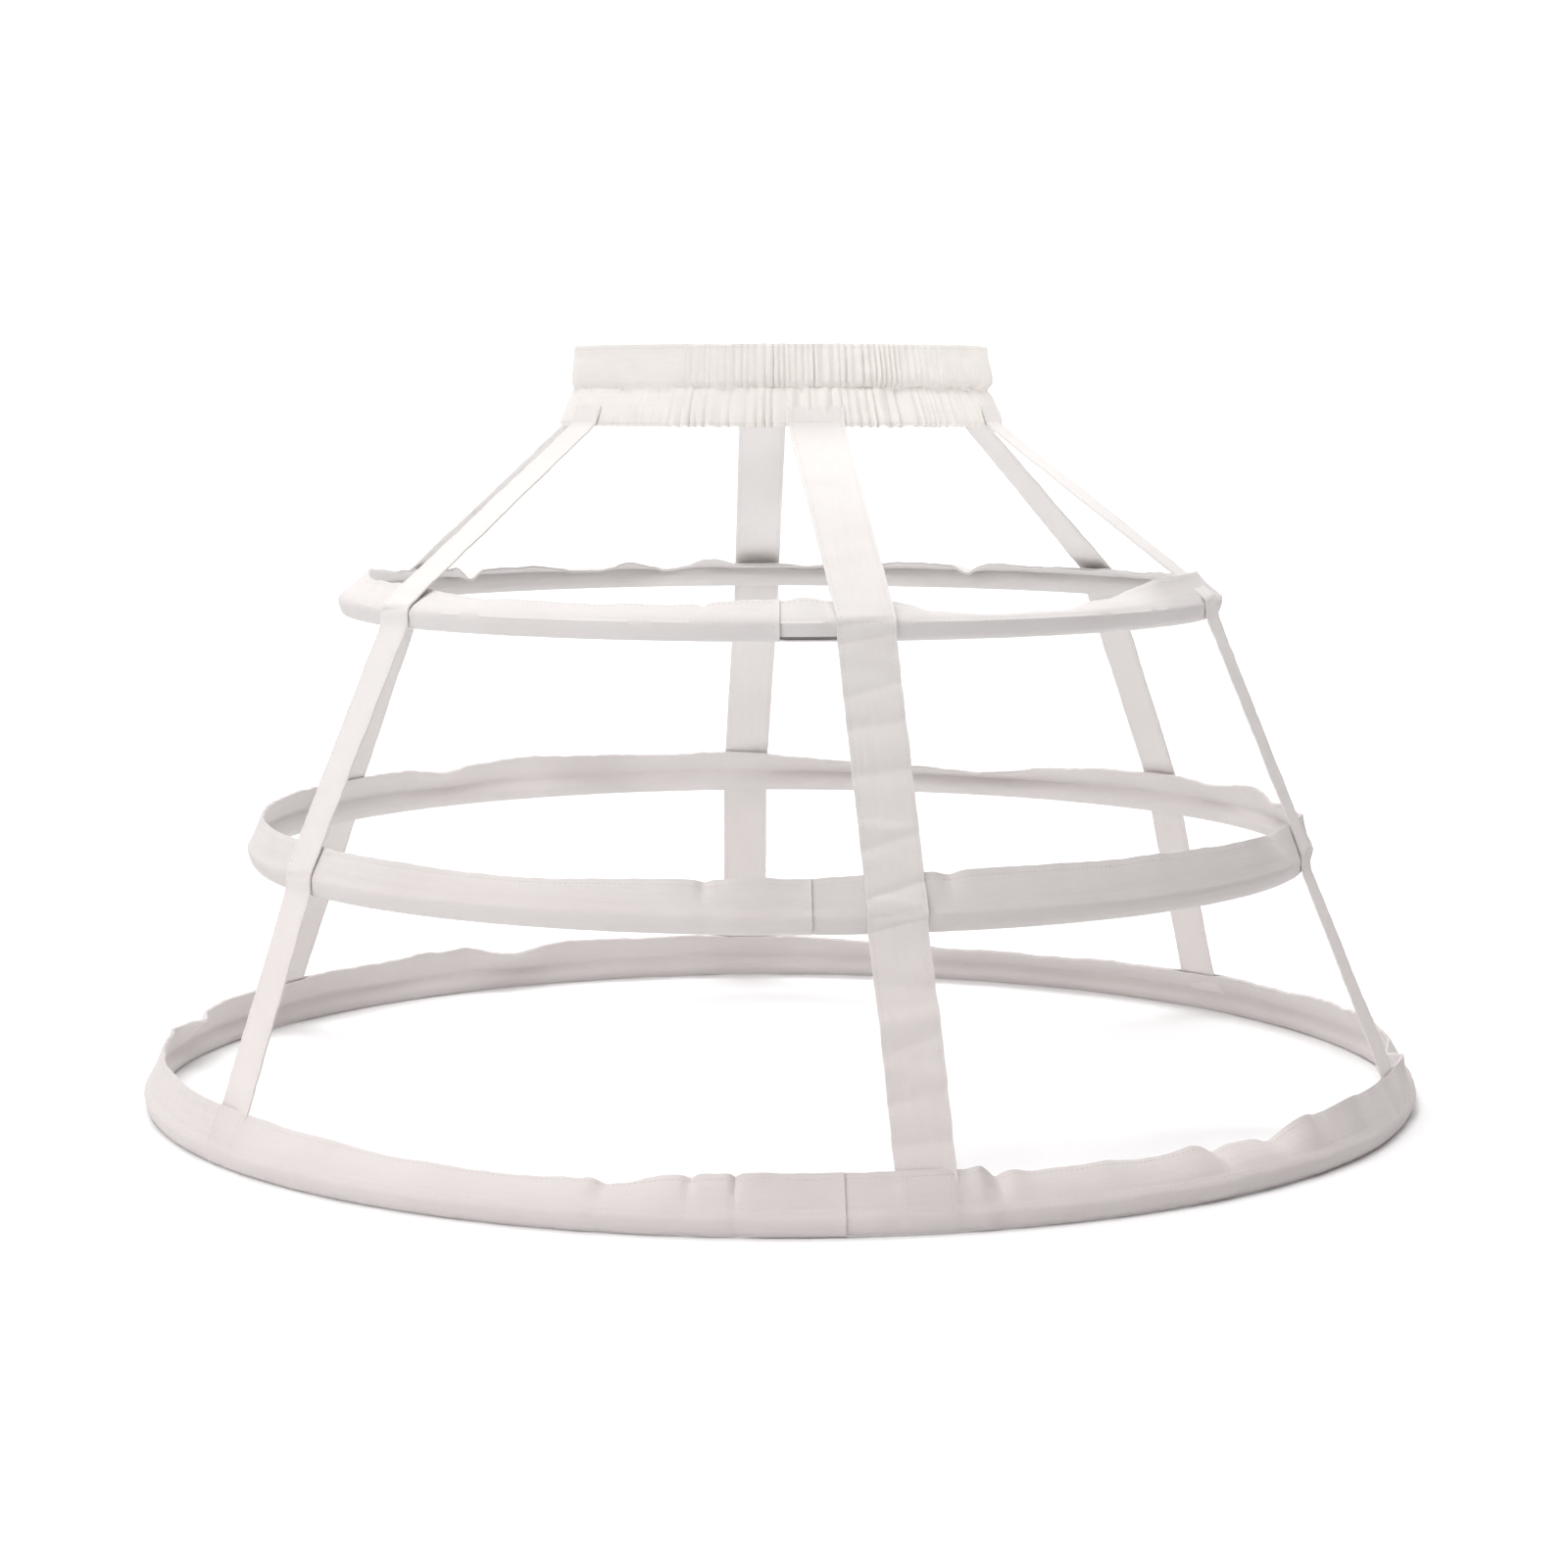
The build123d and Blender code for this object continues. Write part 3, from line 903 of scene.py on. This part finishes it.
def stretchedNoise(tree, coords, scale, detail):  # noise drawn out along the cloth
    drawn = addNode(tree, "Mapping", {"Vector": coords, "Scale": scale}, "Vector")
    return addNode(tree, "TexNoise", {"Vector": drawn, "Scale": 1.0, "Detail": detail}, "Fac")


cottonLook = {
    "light": (0.80, 0.781, 0.772, 1),
    "shade": (0.74, 0.703, 0.692, 1),
    # painted light and shade: the strap and band tones are lighter than the tape's, for the stronger light
    # on them, and the band's is also creamier
    "strapLight": (0.865, 0.848, 0.832, 1),
    "strapShade": (0.81, 0.765, 0.75, 1),
    "bandLight": (0.905, 0.882, 0.852, 1),
    "bandShade": (0.86, 0.82, 0.785, 1),
    "patchScale": 14,                    # of the light and shade patches
    "patchShare": 0.35,
    "worn": (0.975, 0.945, 0.945, 1),    # painted shade, darker and greyer towards the hem
    "wornHigh": 0.33,
    "wornLow": 0.03,
    "roughness": 0.86,
    "sheen": 0.15,
    "specular": 0.25,
    "threadsPerMetre": 2300,
    "weaveStrength": 0.35,
    "weaveDepth": 0.00012,
    "slubScale": (90, 1400, 1),          # thicker threads here and there
    "slubColour": (0.90, 0.89, 0.88, 1),
    "slubShare": 0.6,
    "crumpleScale": 55,
    "crumpleStrength": 0.45,
    "crumpleDepth": 0.0009,
    "dragScale": (16, 190, 1),           # long drag lines along the tape
    "dragStrength": 0.5,
    "dragDepth": 0.0010,
}


def makeCotton(name, light, shade):
    material, tree, shader = newMaterial(name)
    look = cottonLook
    coords = addNode(tree, "UVMap", {}, "UV", uv_map="clothUV")
    place = addNode(tree, "TexCoord", {}, "Object")

    threads = []
    for rotation in (0.0, math.pi / 2):
        turn = addNode(tree, "Mapping", {"Vector": coords, "Rotation": (0, 0, rotation)}, "Vector")
        scale = look["threadsPerMetre"] / 6.2832 * 2
        inputs = {"Vector": turn, "Scale": scale, "Distortion": 0.6, "Detail": 1.0, "Detail Scale": 2.0}
        threads.append(addNode(tree, "TexWave", inputs, "Fac"))
    weave = addNode(tree, "Math", {0: threads[0], 1: threads[1]}, "Value", operation="MULTIPLY")
    slub = stretchedNoise(tree, coords, look["slubScale"], 2.0)
    drag = stretchedNoise(tree, coords, look["dragScale"], 3.0)
    inputs = {"Vector": place, "Scale": look["crumpleScale"], "Detail": 5, "Distortion": 0.6}
    crumple = addNode(tree, "TexNoise", {**inputs, "Roughness": 0.55}, "Fac")

    patches = addNode(tree, "TexNoise", {"Vector": place, "Scale": look["patchScale"], "Detail": 3}, "Fac")
    patches = addNode(tree, "MapRange", {"Value": patches, "From Min": 0.35, "From Max": 0.70}, "Result")
    share = addNode(tree, "Math", {0: patches, 1: look["patchShare"]}, "Value", operation="MULTIPLY")
    colour = addNode(tree, "Mix", {"Factor": share, "A": light, "B": shade}, data_type="RGBA")
    inputs = {
        "Factor": look["slubShare"],
        "A": colour.outputs["Result"],
        "B": blend(tree, slub, look["slubColour"], (1, 1, 1, 1)),
    }
    colour = addNode(tree, "Mix", inputs, data_type="RGBA", blend_type="MULTIPLY")
    # painted shade: the colour is multiplied darker towards the hem, by height
    height = addNode(tree, "SeparateXYZ", {"Vector": place}, "Z")
    inputs = {"Value": height, "From Min": look["wornHigh"], "From Max": look["wornLow"]}
    lowness = addNode(tree, "MapRange", inputs, "Result", interpolation_type="SMOOTHSTEP")
    inputs = {"Factor": lowness, "A": colour.outputs["Result"], "B": look["worn"]}
    colour = addNode(tree, "Mix", inputs, data_type="RGBA", blend_type="MULTIPLY")

    normal = relief(tree, drag, look["dragStrength"], look["dragDepth"])
    normal = relief(tree, weave, look["weaveStrength"], look["weaveDepth"], normal)
    normal = relief(tree, slub, look["weaveStrength"], look["weaveDepth"], normal)
    normal = relief(tree, crumple, look["crumpleStrength"], look["crumpleDepth"], normal)
    fill(tree, shader, {
        "Base Color": colour.outputs["Result"],
        "Normal": normal,
        "Roughness": look["roughness"],
        "Sheen Weight": look["sheen"],
        "Sheen Roughness": 0.5,
        "Specular IOR Level": look["specular"],
    })
    return material


sewingLook = {
    "dark": (0.66, 0.62, 0.61, 1),
    "light": (0.84, 0.81, 0.79, 1),
    "plyScale": 1400,
    "twistStrength": 0.4,
    "twistDepth": 0.00008,
    "roughness": 0.55,
    "sheen": 0.2,
}


def makeThread():
    material, tree, shader = newMaterial("sewingThread")
    look = sewingLook
    place = addNode(tree, "TexCoord", {}, "Object")
    ply = addNode(tree, "TexNoise", {"Vector": place, "Scale": look["plyScale"]}, "Fac")
    fill(tree, shader, {
        "Base Color": blend(tree, ply, look["dark"], look["light"]),
        "Normal": relief(tree, ply, look["twistStrength"], look["twistDepth"]),
        "Roughness": look["roughness"],
        "Sheen Weight": look["sheen"],
    })
    return material


metals = {                    # dark and light tone, roughness and scale of the grain
    "springSteel": ((0.30, 0.29, 0.28, 1), (0.46, 0.45, 0.44, 1), 0.36, 40),
    "joinerMetal": ((0.42, 0.41, 0.39, 1), (0.58, 0.57, 0.55, 1), 0.42, 90),
}


def makeMetal(name):  # rolled, with its grain along the hoop
    material, tree, shader = newMaterial(name)
    dark, light, roughness, grain = metals[name]
    place = addNode(tree, "TexCoord", {}, "Object")
    drawn = addNode(tree, "Mapping", {"Vector": place, "Scale": (1, 1, 60)}, "Vector")
    rolled = addNode(tree, "TexNoise", {"Vector": drawn, "Scale": grain, "Detail": 4}, "Fac")
    inputs = {"Value": rolled, "To Min": roughness - 0.08, "To Max": roughness + 0.12}
    fill(tree, shader, {
        "Base Color": blend(tree, rolled, dark, light),
        "Roughness": addNode(tree, "MapRange", inputs, "Result"),
        "Normal": relief(tree, rolled, 0.2, 0.00005),
        "Metallic": 1.0,
    })
    return material


elasticLook = {
    "dark": (0.70, 0.68, 0.66, 1),
    "light": (0.86, 0.84, 0.82, 1),
    "ribScale": 320,
    "ribStrength": 0.6,
    "ribDepth": 0.0003,
    "roughness": 0.8,
}


def makeElastic():  # ribbed along its length
    material, tree, shader = newMaterial("ribbedElastic")
    look = elasticLook
    place = addNode(tree, "TexCoord", {}, "Object")
    inputs = {"Vector": place, "Scale": look["ribScale"], "Distortion": 0.4}
    ribs = addNode(tree, "TexWave", inputs, "Fac", bands_direction="Z")
    fill(tree, shader, {
        "Base Color": blend(tree, ribs, look["dark"], look["light"]),
        "Normal": relief(tree, ribs, look["ribStrength"], look["ribDepth"]),
        "Roughness": look["roughness"],
    })
    return material


def dressCadNodes():
    looks = {
        "steel": makeMetal("springSteel"),
        "joiner": makeMetal("joinerMetal"),
        "waist_elastic": makeElastic(),
    }
    for name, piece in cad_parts.items():
        for start, look in looks.items():
            if name.startswith(start):
                piece.data.materials.clear()
                piece.data.materials.append(look)


cotton = makeCotton("whiteCottonTape", cottonLook["light"], cottonLook["shade"])
# painted light: the strap and band copies of the cotton are lighter than the tape's
strapPaintedLightCotton = makeCotton("strapClothPaintedLight", cottonLook["strapLight"], cottonLook["strapShade"])
bandPaintedLightCotton = makeCotton("bandClothPaintedLight", cottonLook["bandLight"], cottonLook["bandShade"])
threadLook = makeThread()
dressCadNodes()
print("stage: materials")


# camera, light and floor

view = {
    "lens": 76.03,
    "distance": 2.019,
    "height": 0.4234,
    "aside": 0.0023,
    "tilt": 6.708,            # degrees down
}

studio = {
    "paper": (0.962, 0.97, 0.976, 1),
    "paperRoughness": 0.9,
    "paperSpecular": 0.1,
    "floorSize": (9, 5, 1),
    "floorMiddle": (0, -0.9, -0.0002),
    "sweepSteps": [(0, 0.5, 0), (0, 0.8, 0.9), (0, 0.1, 3.4)],  # behind the floor: flat, curving, upright
    "air": (0.94, 0.85, 0.84, 1),        # light from all round
    "airStrength": 0.18,
    "farWall": (0.80, 0.80, 0.80, 1),    # what is seen beyond the paper
    "spotSoftness": 0.12,
    "lamps": {                # sides of an area lamp or radians across a beam, watts, place, aim and colour
        "overheadLamp": ((4.6, 3.8), 83, (-0.5, -0.6, 4.8), (0, 0.1, 0.2), (1.0, 0.99, 0.985)),
        "frontLeftLamp": ((1.4, 1.4), 24, (-2.2, -1.9, 1.8), (0, 0, 0.3), (1.0, 0.985, 0.98)),
        "highFrontLamp": ((1.5, 1.5), 38, (-0.8, -2.2, 3.4), (0, 0, 0.3), (1.0, 0.985, 0.98)),
        "bandSpot": (0.20, 84, (1.55, -1.55, 1.15), (0.13, -0.06, 0.47), (1.0, 0.985, 0.975)),
        "sweepLamp": ((4.0, 1.2), 76, (0, 0.9, 3.2), (0, 2.6, 0.6), (1, 1, 1)),
    },
}


def makeCamera():
    bpy.ops.object.camera_add(
        location=(view["aside"], -view["distance"], view["height"]),
        rotation=(math.radians(90 - view["tilt"]), 0, 0),
    )
    camera = bpy.context.object
    camera.data.lens = view["lens"]
    camera.data.sensor_width = 36
    bpy.context.scene.camera = camera


def addLamp(name, spread, power, spot, aim, colour):
    isArea = isinstance(spread, tuple)
    bpy.ops.object.light_add(type="AREA" if isArea else "SPOT", location=spot)
    lamp = bpy.context.object
    lamp.name = name
    if isArea:
        lamp.data.shape = "RECTANGLE"
        lamp.data.size, lamp.data.size_y = spread
    else:
        lamp.data.spot_size = spread
        lamp.data.spot_blend = 1.0
        lamp.data.shadow_soft_size = studio["spotSoftness"]
    lamp.data.energy = power
    lamp.data.color = colour
    lamp.rotation_euler = (Vector(aim) - Vector(spot)).to_track_quat("-Z", "Y").to_euler()


def makePaper():  # a flat floor that sweeps up behind the cage
    deselectAll()
    bpy.ops.mesh.primitive_plane_add(size=1)
    paper = bpy.context.object
    paper.name = "paperSweep"
    bpy.ops.transform.resize(value=studio["floorSize"])
    bpy.ops.transform.translate(value=studio["floorMiddle"])
    bpy.ops.object.mode_set(mode="EDIT")
    bpy.ops.mesh.select_all(action="DESELECT")
    bpy.ops.object.mode_set(mode="OBJECT")
    for edge in paper.data.edges:
        ends = [paper.data.vertices[i].co.y for i in edge.vertices]
        edge.select = min(ends) > 0
    bpy.ops.object.mode_set(mode="EDIT")
    bpy.ops.mesh.select_mode(type="EDGE")
    for step in studio["sweepSteps"]:
        bpy.ops.mesh.extrude_region_move(TRANSFORM_OT_translate={"value": step})
    bpy.ops.object.mode_set(mode="OBJECT")
    bpy.ops.object.transform_apply(location=True, rotation=True, scale=True)
    rounding = paper.modifiers.new("roundSweep", "SUBSURF")
    rounding.levels = rounding.render_levels = 4
    bpy.ops.object.shade_smooth()
    material, tree, shader = newMaterial("paleSweep")
    fill(tree, shader, {
        "Base Color": studio["paper"],
        "Roughness": studio["paperRoughness"],
        "Specular IOR Level": studio["paperSpecular"],
    })
    paper.data.materials.append(material)


def makeWorld():
    world = bpy.data.worlds.new("studioAir")
    bpy.context.scene.world = world
    world.use_nodes = True
    tree = world.node_tree
    air = tree.nodes["Background"]
    fill(tree, air, {"Color": studio["air"], "Strength": studio["airStrength"]})
    farWall = addNode(tree, "Background", {"Color": studio["farWall"]}, "Background")
    seen = addNode(tree, "LightPath", {}, "Is Camera Ray")
    either = addNode(tree, "MixShader", {"Fac": seen, 1: air.outputs["Background"], 2: farWall}, "Shader")
    fill(tree, tree.nodes["World Output"], {"Surface": either})
    bpy.context.scene.view_settings.view_transform = "Standard"


makeCamera()
makePaper()
for lampName, values in studio["lamps"].items():
    addLamp(lampName, *values)
makeWorld()
print("stage: camera and studio")

bandPiece, bandFlat = makeBand(bandPaintedLightCotton)
bandStitches(threadLook)
print("stage: waistband")
for hoopName, seed in (("top", 3), ("middle", 5), ("hem", 8)):
    makeCasing(hoopName, seed, cotton, threadLook)
print("stage: casings")
for number, strapName in enumerate(strap["angles"]):
    makeStrap(strapName, number + 1, strapPaintedLightCotton, threadLook)
print("stage: straps")
